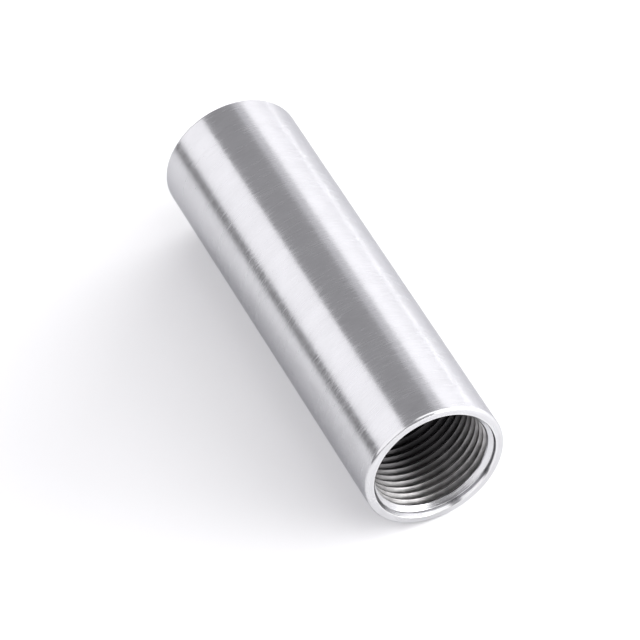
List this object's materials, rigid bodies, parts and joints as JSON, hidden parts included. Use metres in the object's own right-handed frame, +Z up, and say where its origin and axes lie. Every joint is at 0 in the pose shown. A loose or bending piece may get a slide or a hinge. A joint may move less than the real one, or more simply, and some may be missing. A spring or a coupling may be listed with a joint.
{
  "type": "threaded coupling sleeve",
  "caption": "Round steel sleeve with parallel pipe thread cut in from both ends, which joins two threaded tubes or rods end to end.",
  "frame": {"origin": "middle of the sleeve, on its axis", "axes": "+X along the sleeve's axis, towards the mouth that faces the viewer; the sleeve lies on its side, +Z up"},
  "size_m": [0.1, 0.03, 0.03],
  "materials": {
    "steel": "ground bright, with fine marks round the outside"
  },
  "bodies": {
    "root": {"coupling_sleeve": "steel"}
  },
  "joints": []
}
